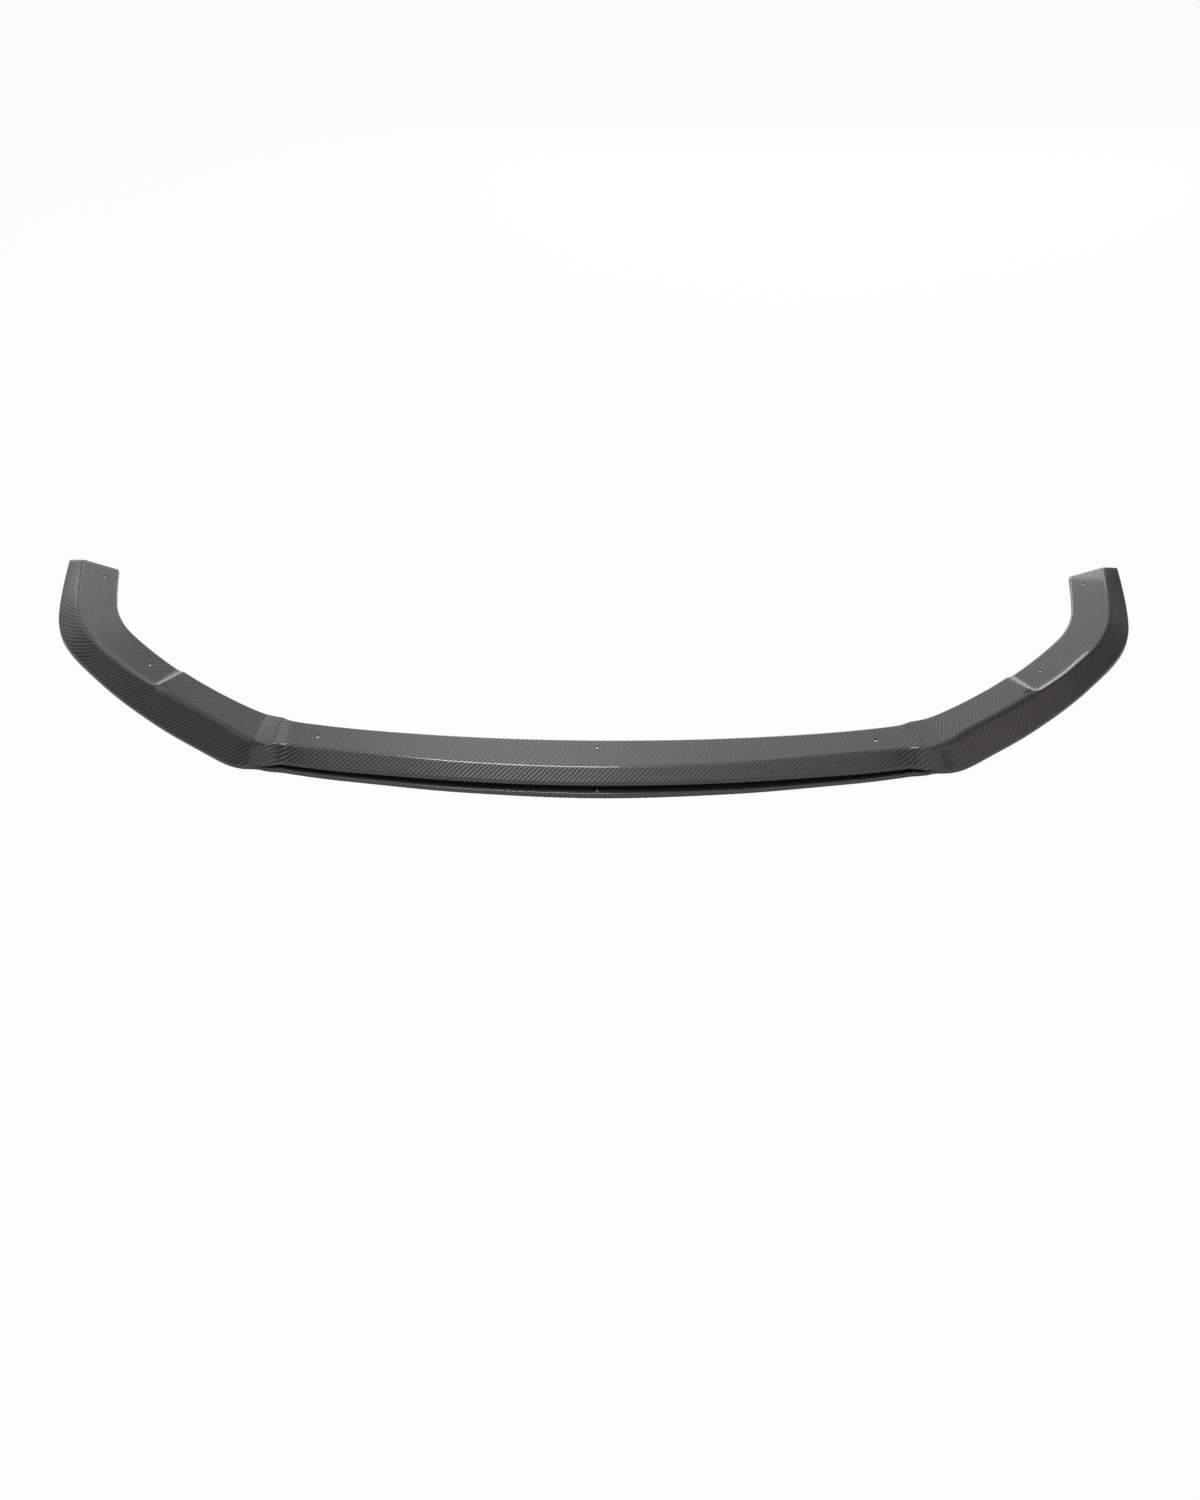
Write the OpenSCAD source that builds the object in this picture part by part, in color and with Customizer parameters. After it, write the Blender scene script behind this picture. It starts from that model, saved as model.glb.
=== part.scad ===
// Front splitter lip: one moulded carbon-fibre skin, symmetrical about X = 0.
// X runs across the car, the front faces -Y and Z is up. The lip stands on its lower edges at Z = 0.
// A flat screw flange runs along the rear. In front of it a face slopes down to the rim.
// Between the two bends the rim stands clear of a lower blade, with a channel behind them.

/* [Laminate] */
// Thickness of the skin
skin_t = 3; // [2:0.25:4]
// Radius left on the trimmed and moulded outer edges
edge_r = 1.2; // [0.5:0.1:1.4]
// Half width of the rounding where the flange turns down into the front face
crease_r = 2.5; // [2:0.5:6]
// Half width of that rounding along the root of the wing, where it is softest
crease_r_root = 9; // [5:0.5:12]
// Half width of that rounding past the step
crease_r_wing = 3.5; // [2:0.5:6]
// Half width of that rounding round the shoulder and along the tip
crease_r_tip = 5.5; // [3:0.5:8]

/* [Rear edge in plan] */
// Length of the rear edge from the middle to the waist, measured along it
middle_len = 340; // [250:5:420]
// How far the rear edge turns over that length, in degrees
middle_turn = 6.5; // [2:0.5:9]
// Length of the waist, next to the bend
waist_len = 125; // [100:5:180]
// Turn of the waist
waist_turn = 4.5; // [0:0.5:8]
// Length of the bend between the waist and the wing
bend_len = 100; // [80:5:140]
// Turn of the bend
bend_turn = 22.5; // [10:0.5:26]
// Length of the wing
wing_len = 295; // [260:5:360]
// Turn of the wing
wing_turn = 18; // [8:0.5:22]
// Length of the shoulder, where the wing turns back along the car
shoulder_len = 100; // [80:5:160]
// Turn of the shoulder
shoulder_turn = 30; // [15:0.5:34]
// Length of the tip
tip_len = 94; // [60:1:140]
// Turn of the tip
tip_turn = 5; // [0:0.5:8]
// Angle by which the end of the tip is cut back, from the inside corner to the outside
tip_slant = 28; // [0:1:32]
// Length over which the skin rolls down at the tip's end
end_run = 6; // [3:0.5:12]
// Drop of that roll
end_drop = 3; // [0:0.5:6]
// Rounding of the two corners of the tip's end, as seen from above
corner_r = 4; // [1:0.5:5]

/* [Flange] */
// Height of the flange above the ground, to its top
flange_z = 46; // [40:0.5:60]
// Width of the flange at the middle
flange_w_middle = 65.5; // [55:0.5:80]
// Width of the flange a quarter of the way along the channel
flange_w_quarter = 62.5; // [55:0.5:75]
// Width of the flange at the waist
flange_w_waist = 56; // [48:0.5:62]
// Width of the flange at the end of the channel
flange_w_channel = 59; // [52:0.5:66]
// Width of the flange at the bend
flange_w_bend = 71; // [60:0.5:76]
// Width of the flange at the root of the wing
flange_w_root = 62.5; // [56:0.5:70]
// Width of the flange along the wing, up to the step
flange_w_wing = 60; // [54:0.5:68]
// Width of the flange just past the step
flange_w_step = 61.5; // [55:0.5:70]
// Width of the flange near the end of the wing
flange_w_reach = 64; // [58:0.5:70]
// Width of the flange where the shoulder starts
flange_w_turn = 63; // [57:0.5:70]
// Width of the flange at the shoulder
flange_w_shoulder = 67; // [58:0.5:74]
// Width of the flange at the tip
flange_w_tip = 64; // [56:0.5:72]
// Depth of the small return that stiffens the rear edge
return_h = 7; // [5:0.5:12]
// Outside radius of that return
return_r = 3.2; // [2:0.1:4]
// Height of the ridge across the flange above each end of the channel
ridge_h = 3; // [0:0.25:4]
// Distance of the ridge from the start of the bend, along the rear edge
ridge_at = 38; // [30:1:45]
// Angle between the ridge and a line square to the rear edge
ridge_skew = 10; // [0:1:15]
// Run of the ridge's hollow side, towards the middle
ridge_in = 20; // [15:1:28]
// Run of the ridge's flat side, towards the wing
ridge_out = 30; // [25:1:40]
// Drop of the wing's flange at the step
step_h = 4.5; // [1:0.25:7]
// Length of the step's ramp at the rear edge
step_len = 20; // [12:1:26]
// Length of the ramp at the front of the flange
step_len_front = 8; // [6:1:20]
// Angle between the step's top line and a line square to the rear edge
step_skew = 4.5; // [0:0.5:8]
// Distance of the step from the wing's root, along the rear edge
step_at = 149; // [130:1:170]
// Height to which the flange's front turns up past the step
bead_h = 2; // [0:0.25:3]
// Width of that turned-up bead
bead_w = 7.5; // [4:0.5:9]
// Length over which the front of the flange comes down at the step
crest_run = 50; // [30:5:80]
// Length of the bead, from the step
bead_len = 165; // [120:5:190]
// Length over which it fades at its end
bead_fade = 60; // [40:5:90]

/* [Front face] */
// Width in plan of the sloping face at the middle
face_w_middle = 17.5; // [14:0.5:24]
// Width in plan of the face at the end of the channel
face_w_channel = 13; // [11:0.5:17]
// Width in plan of the face at the inner side of the bend, where it is steepest
face_w_steep = 8.5; // [7:0.5:12]
// Width in plan of the face at the corner of the bend
face_w_corner = 19; // [15:0.5:24]
// Width in plan of the face along the wing
face_w_wing = 29.5; // [24:0.5:36]
// Width in plan of the face at the top of the step
face_w_top = 28.5; // [24:0.5:36]
// Width in plan of the face just past the step
face_w_step = 27; // [23:0.5:34]
// Width in plan of the face near the end of the wing
face_w_reach = 24.5; // [21:0.5:32]
// Width in plan of the face where the shoulder starts
face_w_turn = 25.5; // [22:0.5:32]
// Width in plan of the face where the shoulder meets the tip
face_w_shoulder = 34; // [28:0.5:38]
// Width in plan of the face at the tip
face_w_tip = 26; // [20:0.5:32]

/* [Rim, channel and blade] */
// Height of the rim's top edge at the middle
rim_z_middle = 28; // [25:0.5:32]
// Height of the rim's top edge a quarter of the way along the channel
rim_z_quarter = 27; // [24:0.5:30]
// Height of the rim's top edge at the waist
rim_z_waist = 22.5; // [20:0.5:26]
// Height of the rim's top edge at the end of the channel
rim_z_channel = 20.5; // [18:0.5:23]
// Height of the rim in the bend, where the face is steepest
rim_z_steep = 14.5; // [12:0.5:17]
// Height of the rim at the corner of the bend and where the shoulder starts
rim_z_corner = 7; // [5:0.5:10]
// Height of the rim along the wing, where it stands on the ground
rim_z_wing = 6; // [5:0.5:9]
// Height of the rim where the shoulder meets the tip
rim_z_shoulder = 12; // [8:0.5:18]
// Height of the rim at the tip
rim_z_tip = 32; // [20:0.5:36]
// Depth of the rim's face above the channel
rim_h = 7; // [5:0.5:9]
// Depth of the channel behind the rim's face
channel_d = 15; // [10:0.5:18]
// Height of the blade at the middle
blade_z_middle = 10; // [7:0.5:12]
// Height of the blade at the ends of the channel
blade_z_end = 7.5; // [6.5:0.5:9]
// How far the blade reaches in front of the rim at the middle
blade_out_middle = 5.5; // [3:0.5:10]
// How far the blade reaches in front of the rim at the ends of the channel
blade_out_end = 4; // [2:0.5:8]

/* [Holes] */
// Radius of the screw holes in the flange
screw_r = 3; // [2:0.25:4]
// Distance of the middle screw hole from the rear edge
middle_hole_in = 18; // [12:0.5:40]
// Distance along the rear edge of the waist's screw hole from the bend
waist_hole_at = 27; // [20:1:60]
// Distance of that hole from the rear edge
waist_hole_in = 30; // [15:0.5:36]
// Distance along the rear edge of the wing's screw hole from the step
wing_hole_at = 58; // [35:1:80]
// Distance of that hole from the rear edge
wing_hole_in = 25; // [12:0.5:36]
// Distance along the rear edge of the tip's screw hole from the end
tip_hole_at = 31; // [28:1:45]
// Distance of that hole from the rear edge
tip_hole_in = 23; // [14:0.5:36]
// Radius of the drain hole in the floor of the channel
drain_r = 2.2; // [1.5:0.1:3]
// Distance of the drain hole from the front of the blade
drain_in = 8; // [6:0.5:10]

/* [Hidden] */

$fn = 48;
// Slack by which a drill passes each side of the skin
drill_slack = 2;
// Length over which the sections turn to the tip's slanted end
slant_run = 110;
// Slack past the ends of the step's ramp, at which its close sections start and stop
ramp_slack = 3;
// Steps of each rounding in the section
CREASE_STEPS = 4;
RETURN_STEPS = 3;
BEAD_STEPS = 3;

// The rear edge as arcs, each a length and a turn
PATH = [
    [middle_len, middle_turn],
    [waist_len, waist_turn],
    [bend_len, bend_turn],
    [wing_len, wing_turn],
    [shoulder_len, shoulder_turn],
    [tip_len, tip_turn],
];
bend_s = middle_len + waist_len;
wing_s = bend_s + bend_len;
step_s = wing_s + step_at;
shoulder_s = wing_s + wing_len;
tip_s = shoulder_s + shoulder_len;
end_s = tip_s + tip_len;

// Where the sections between those ends stand
quarter_s = middle_len * 0.6;
waist_s = middle_len + waist_len * 0.4;
channel_s = bend_s + bend_len * 0.12;
steep_s = bend_s + bend_len * 0.4;
corner_s = bend_s + bend_len * 0.65;
ridge_s = bend_s + ridge_at;
root_s = wing_s + step_at * 0.4;
past_s = step_s + step_len;
reach_s = shoulder_s - wing_len * 0.2;

// Rim depth, blade reach, blade height and how far the channel is open, from 0 to 1
OPEN = [rim_h, blade_out_end, blade_z_end, 1];
CLOSING = [rim_h * 0.8, blade_out_end / 4, blade_z_end * 0.7, 0.2];
CLOSED = [rim_h / 3, 0, blade_z_end / 2, 0];
// Sections along the rear edge, each a distance, flange width, face width, rim top and the half
// width of the rounding between flange and face, followed by the four values above
SECTIONS = [
    [0, flange_w_middle, face_w_middle, rim_z_middle, crease_r,
        rim_h, blade_out_middle, blade_z_middle, 1],
    [quarter_s, flange_w_quarter, face_w_middle, rim_z_quarter, crease_r,
        rim_h, blade_out_end, (blade_z_middle + blade_z_end) / 2, 1],
    concat([waist_s, flange_w_waist, face_w_middle, rim_z_waist, crease_r], OPEN),
    concat([channel_s, flange_w_channel, face_w_channel, rim_z_channel, crease_r], OPEN),
    concat([steep_s, flange_w_bend, face_w_steep, rim_z_steep, crease_r], CLOSING),
    concat([corner_s, flange_w_bend, face_w_corner, rim_z_corner, crease_r_root], CLOSED),
    concat([wing_s, flange_w_root, face_w_wing, rim_z_wing, crease_r_root], CLOSED),
    concat([root_s, flange_w_wing, face_w_wing, rim_z_wing, crease_r_root], CLOSED),
    concat([step_s, flange_w_wing, face_w_top, rim_z_wing, crease_r_root], CLOSED),
    concat([past_s, flange_w_step, face_w_step, rim_z_wing, crease_r_wing], CLOSED),
    concat([reach_s, flange_w_reach, face_w_reach, rim_z_wing, crease_r_wing], CLOSED),
    concat([shoulder_s, flange_w_turn, face_w_turn, rim_z_corner, crease_r_wing], CLOSED),
    concat([tip_s, flange_w_shoulder, face_w_shoulder, rim_z_shoulder, crease_r_tip], CLOSED),
    concat([end_s, flange_w_tip, face_w_tip, rim_z_tip, crease_r_tip], CLOSED),
];
LAST = len(SECTIONS) - 1;

function mix(a, b, k) = a + (b - a) * k;
function ease(k) = let (c = min(max(k, 0), 1)) c * c * (3 - 2 * c);

// A point of the rear edge at distance s from the middle, as x, y and heading, from y = 0
function rear_edge(s, i = 0, x = 0, y = 0, heading = 0) =
    let (
        arc_len = PATH[i][0],
        radius = arc_len / PATH[i][1] * 180 / PI,
        turned = heading + PATH[i][1] * min(s, arc_len) / arc_len,
        x1 = x + radius * (sin(turned) - sin(heading)),
        y1 = y + radius * (cos(heading) - cos(turned))
    )
    s <= arc_len || i == len(PATH) - 1
        ? [x1, y1, turned]
        : rear_edge(s - arc_len, i + 1, x1, y1, turned);

// A point u in front of the rear edge, square to it but turned towards the tip's slanted end
function on_plan(s, u) =
    let (
        edge = rear_edge(s),
        back = u * tan(tip_slant) * ease((s - end_s + slant_run) / slant_run)
    )
    [
        edge[0] + u * sin(edge[2]) + back * cos(edge[2]),
        edge[1] - u * cos(edge[2]) + back * sin(edge[2])
    ];

// Smooth curve through the sections that never swings past them
function rate(i, c) = (SECTIONS[i + 1][c] - SECTIONS[i][c]) / (SECTIONS[i + 1][0] - SECTIONS[i][0]);
function tangent(i, c) =
    i == 0 || i == LAST ? 0
    : let (a = rate(i - 1, c), b = rate(i, c)) a * b <= 0 ? 0 : 2 * a * b / (a + b);
function span_of(s, i = 0) = i >= LAST - 1 || s < SECTIONS[i + 1][0] ? i : span_of(s, i + 1);
function section_at(s) =
    let (
        i = span_of(s),
        run = SECTIONS[i + 1][0] - SECTIONS[i][0],
        k = min((s - SECTIONS[i][0]) / run, 1)
    )
    [for (c = [1:8])
        SECTIONS[i][c] * (2 * k * k * k - 3 * k * k + 1)
        + tangent(i, c) * run * (k * k * k - 2 * k * k + k)
        + SECTIONS[i + 1][c] * (3 * k * k - 2 * k * k * k)
        + tangent(i + 1, c) * run * (k * k * k - k * k)
    ];

// Height of the flange's top, with the ridge at the end of the channel and the step on the wing.
// The ridge rises ever faster to its line and falls evenly. The step falls ever slower.
function part_of(x, run) = min(max(x / run, 0), 1);
function ridge_rise(s, u) =
    let (
        past = s - ridge_s + u * tan(ridge_skew),
        rise = part_of(past + ridge_in, ridge_in)
    )
    ridge_h * (rise * rise - part_of(past, ridge_out));
function step_fall(s, u) =
    let (
        past = s - step_s - u * tan(step_skew),
        left = 1 - part_of(past, mix(step_len, step_len_front, u / flange_w_step))
    )
    step_h * (1 - left * left);
function flange_top(s, u) = flange_z + ridge_rise(s, u) - step_fall(s, u);

// The flange's front edge comes down more slowly, which leaves a bead there past the step
function crest_fall(s) =
    (step_h - bead_h * (1 - ease((s - step_s - bead_len) / bead_fade + 1)))
    * ease((s - step_s) / crest_run + 0.5);

// The section at s as points [u, z, on_flange], from the rear edge over the outside to the ground
// and back along the inside. Where on_flange is 1, z is measured from the flange's top.
function outline(s) =
    let (
        c = section_at(s),
        flange_w = c[0],
        face_w = c[1],
        rim_z = c[2],
        crease = c[3],
        channel_z = c[2] - c[4],
        blade_z = c[6],
        open = c[7],
        rim_u = flange_w + face_w,
        front_u = rim_u + c[5],
        channel_u = rim_u - channel_d,
        crest_u = flange_w - crease,
        crest_z = step_fall(s, flange_w) - crest_fall(s),
        drop = flange_top(s, flange_w) + crest_z - rim_z,
        face_len = norm([face_w, drop]),
        cs = face_w / face_len,
        sn = drop / face_len,
        // The inside of the face meets the inside of the rim here
        inside = mix(rim_z + drop, rim_z, (face_w - skin_t * (1 - sn)) / face_w) - skin_t * cs,
        // and the inside of the face meets the channel's roof here
        roof_z = channel_z + skin_t,
        roof_u = min(flange_w + (rim_z + drop - skin_t * cs - roof_z) * cs / sn - skin_t * sn,
            rim_u - skin_t),
        closed_outside = [for (j = [1:6]) [rim_u, mix(rim_z - edge_r, edge_r, j / 7)]],
        open_outside = [
            [rim_u, channel_z + edge_r],
            [rim_u - edge_r, channel_z],
            [channel_u, channel_z],
            [channel_u, blade_z],
            [front_u - edge_r, blade_z],
            [front_u, blade_z - edge_r],
        ],
        closed_inside = [for (j = [0:4]) [rim_u - skin_t, inside * j / 4]],
        open_inside = [
            [front_u - skin_t, 0],
            [front_u - skin_t, blade_z - skin_t],
            [channel_u - skin_t, blade_z - skin_t],
            [channel_u - skin_t, roof_z],
            [roof_u, roof_z],
        ]
    )
    concat(
        [[0, -return_h, 1]],
        [for (j = [0:RETURN_STEPS])
            let (a = 90 * j / RETURN_STEPS)
            [return_r * (1 - cos(a)), -return_r * (1 - sin(a)), 1]],
        [[flange_w / 2, 0, 1]],
        [for (j = [0:BEAD_STEPS - 1])
            let (k = j / BEAD_STEPS)
            [crest_u - bead_w * (1 - k), crest_z * ease(k), 1]],
        [for (j = [0:CREASE_STEPS])
            let (k = j / CREASE_STEPS)
            [flange_w - crease * (1 - k) * (1 - k) + crease * cs * k * k,
                crest_z - crease * sn * k * k, 1]],
        [
            [rim_u - edge_r * cs, rim_z + edge_r * sn, 0],
            [rim_u - edge_r * cs / 4, rim_z + edge_r * (sn - 1) / 4, 0],
            [rim_u, rim_z - edge_r, 0],
        ],
        [for (j = [0:5])
            let (p = mix(closed_outside[j], open_outside[j], open))
            [p[0], p[1], 0]],
        [[front_u, edge_r, 0], [front_u - edge_r, 0, 0]],
        [for (j = [0:4])
            let (p = mix(closed_inside[j], open_inside[j], open))
            [p[0], p[1], 0]],
        [
            [flange_w - skin_t * (1 - cs) / sn, crest_z - skin_t, 1],
            [crest_u - bead_w, -skin_t, 1],
            [skin_t, -skin_t, 1],
            [skin_t, -return_h, 1],
        ]
    );

// For each point of the outside, the point of the inside that faces it, both counted from the rear
INSIDE = 9;
OUTSIDE = len(outline(0)) - INSIDE;
function facing(j) =
    let (
        front = RETURN_STEPS + 3,
        crease = front + BEAD_STEPS,
        wall = crease + CREASE_STEPS + 1
    )
    j == 0 ? 0 : j < front ? 1 : j < crease ? 2 : j < wall ? 3
    : min(4 + floor((j - wall) * (INSIDE - 4) / (OUTSIDE - wall)), INSIDE - 1);

// The whole of the lip stands with its bounding box centred on the origin
front_y = -(flange_w_middle + face_w_middle + blade_out_middle);
back_y = on_plan(end_s, flange_w_tip + face_w_tip - corner_r)[1];
rear_y = -(front_y + back_y) / 2;

// Near its end the tip rolls down, less and less towards the foot of its side wall,
// and its section narrows from both sides, which rounds its corners
function end_part(s) = part_of(s - end_s + end_run, end_run);
function end_roll(s, z) = end_drop * pow(end_part(s), 2) * min(z / rim_z_tip, 1);
function narrowed(s, u) =
    let (cut = corner_r * (1 - sqrt(1 - pow(end_part(s), 2))))
    cut + u * (1 - 2 * cut / (flange_w_tip + face_w_tip));

function ring(s) =
    let (side = s < 0 ? -1 : 1, d = abs(s))
    [for (p = outline(d))
        let (xy = on_plan(d, narrowed(d, p[0])), z = p[2] * flange_top(d, p[0]) + p[1])
        [side * xy[0], rear_y + xy[1], z - end_roll(d, z)]];

function steps(a, b, n) = [for (i = [0:n - 1]) a + (b - a) * i / n];
HALF = concat(
    steps(0, middle_len, 7),
    steps(middle_len, bend_s, 6),
    steps(bend_s, ridge_s - ridge_in, 3),
    steps(ridge_s - ridge_in, ridge_s, 8),
    steps(ridge_s, wing_s, 14),
    steps(wing_s, step_s - ramp_slack, 7),
    steps(step_s - ramp_slack, past_s + ramp_slack, 8),
    steps(past_s + ramp_slack, shoulder_s, 6),
    steps(shoulder_s, tip_s, 11),
    steps(tip_s, end_s - end_run, 8),
    steps(end_s - end_run, end_s, 3),
    [end_s]
);
STATIONS = concat([for (i = [len(HALF) - 1:-1:1]) -HALF[i]], HALF);

module skin() {
    n = OUTSIDE + INSIDE;
    last = (len(STATIONS) - 1) * n;
    sides = [for (i = [0:len(STATIONS) - 2], j = [0:n - 1], half = [0, 1])
        let (a = i * n + j, b = i * n + (j + 1) % n)
        half == 0 ? [a, b, b + n] : [a, b + n, a + n]];
    // Each end is closed by a strip between the outside and the inside
    ends = [for (j = [0:OUTSIDE - 2])
        let (a = n - 1 - facing(j), b = n - 1 - facing(j + 1))
        each [[j, a, j + 1], if (b != a) [j + 1, a, b]]];
    far_ends = [for (f = ends) [f[0] + last, f[2] + last, f[1] + last]];
    polyhedron(points = [for (s = STATIONS) each ring(s)], faces = concat(sides, ends, far_ends));
}

module drill(s, u, r, side, top) {
    xy = on_plan(s, u);
    translate([side * xy[0], rear_y + xy[1], top - skin_t - drill_slack])
        cylinder(r = r, h = skin_t + 2 * drill_slack);
}

module flange_holes(side) {
    drill(bend_s - waist_hole_at, waist_hole_in, screw_r, side, flange_z);
    drill(step_s + wing_hole_at, wing_hole_in, screw_r, side, flange_z - step_h);
    drill(end_s - tip_hole_at, tip_hole_in, screw_r, side, flange_z - step_h);
}

module splitter_lip() {
    color([0.2, 0.2, 0.21])
    difference() {
        skin();
        drill(0, middle_hole_in, screw_r, 1, flange_z);
        drill(0, -front_y - drain_in, drain_r, 1, blade_z_middle);
        flange_holes(-1);
        flange_holes(1);
    }
}

splitter_lip();
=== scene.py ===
"""Front splitter lip in clear-coated carbon fibre, on a white studio floor."""

import math

import bpy
import numpy as np
from mathutils import Matrix, Vector


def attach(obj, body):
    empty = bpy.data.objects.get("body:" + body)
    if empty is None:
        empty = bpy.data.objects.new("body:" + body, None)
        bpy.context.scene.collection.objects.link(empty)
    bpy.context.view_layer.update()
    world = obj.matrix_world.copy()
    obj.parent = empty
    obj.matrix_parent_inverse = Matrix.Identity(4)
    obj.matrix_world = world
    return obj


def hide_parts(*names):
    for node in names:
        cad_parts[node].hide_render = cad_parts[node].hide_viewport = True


bl_info = {
    "name": "Front Splitter Lip",
    "version": (1, 0, 0),
    "blender": (4, 5, 0),
    "location": "3D View > Sidebar > Splitter Lip",
    "description": "Builds a carbon-fibre front splitter lip and its studio",
    "category": "Add Mesh",
}

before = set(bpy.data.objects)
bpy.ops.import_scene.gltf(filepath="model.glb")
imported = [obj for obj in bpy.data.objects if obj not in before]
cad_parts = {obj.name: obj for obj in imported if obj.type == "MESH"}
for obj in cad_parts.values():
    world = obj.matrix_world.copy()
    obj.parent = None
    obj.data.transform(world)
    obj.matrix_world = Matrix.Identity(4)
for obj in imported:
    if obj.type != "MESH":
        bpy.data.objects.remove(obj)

NODE = "splitter_lip"
CLOTH = "cloth"
CLOTH_UV = "UVMap"
UNDERSIDE = "underside"
HOLE_R = "hole_r"
WHITE = (1.0, 1.0, 1.0)
QUARTER_TURN = math.pi / 2
TINY = 1e-9

# Points that lie closer than these gaps, in metres, are made one before and after the holes are cut
SEAM_GAP = 2e-6
CUT_GAP = 5e-6
# Depth of the drills, in thicknesses of the skin, and their number of sides
DRILL_REACH = 2.4
DRILL_SIDES = 48
# Edges that turn further than this are shaded sharp
SHARP_DEGREES = 40
# Height of the camera's picture, to which its focal length belongs
PICTURE_MM = 36

# The lamps, each with its name, its place, the point that it faces, its width and depth, and its power
LAMPS = (
    ("overhead_softbox", (-0.3, -0.25, 2.6), (-0.3, -0.25, 0), (0.85, 1.3), 39),
    ("rear_softbox", (0.6, 1.9, 0.66), (0.65, -0.05, 0), (1.9, 1.0), 11.5),
)
# Pale panels that the clear coat mirrors, each with its direction, the degrees from it where the panel ends
# and where it is whole, its colour and its strength
PANELS = (
    ((-0.05, 0.78, 0.6), 40, 0, (0.96, 0.88, 1.0), 0.12),
    ((0.02, 0.78, 0.62), 15, 0, (1.0, 0.98, 1.0), 0.65),
    ((-0.05, 0.985, 0.14), 30.5, 22, WHITE, 0.4),
    ((-0.45, 0.9, 0.1), 22, 8, WHITE, 1.2),
    ((-0.27, 0.82, 0.52), 8, 2, WHITE, 1.2),
    ((0.27, 0.82, 0.52), 8, 2, WHITE, 0.35),
    ((-0.75, 0.58, 0.45), 30, 6, (1.0, 0.98, 0.95), 0.57),
    ((-0.95, -0.15, 0.3), 35, 0, (1.0, 0.96, 0.88), 0.15),
    ((0.85, -0.4, 0.4), 40, 0, (1.0, 0.96, 0.9), 0.36),
    ((0.0, -0.6, 0.8), 50, 0, WHITE, 0.55),
)


def length(name, mm, about):
    """A size given in millimetres and kept in metres."""
    return bpy.props.FloatProperty(
        name=name, description=about, default=mm / 1000, precision=4, unit="LENGTH"
    )


def angle(name, degrees, about):
    """An angle given in degrees."""
    return bpy.props.FloatProperty(
        name=name, description=about, default=math.radians(degrees), subtype="ANGLE", unit="ROTATION"
    )


def share(name, value, about):
    """A number from 0 to 1."""
    return bpy.props.FloatProperty(
        name=name, description=about, default=value, min=0, max=1, subtype="FACTOR"
    )


def tint(name, value, about):
    """A colour."""
    return bpy.props.FloatVectorProperty(
        name=name, description=about, default=value, min=0, max=1, subtype="COLOR"
    )


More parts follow.
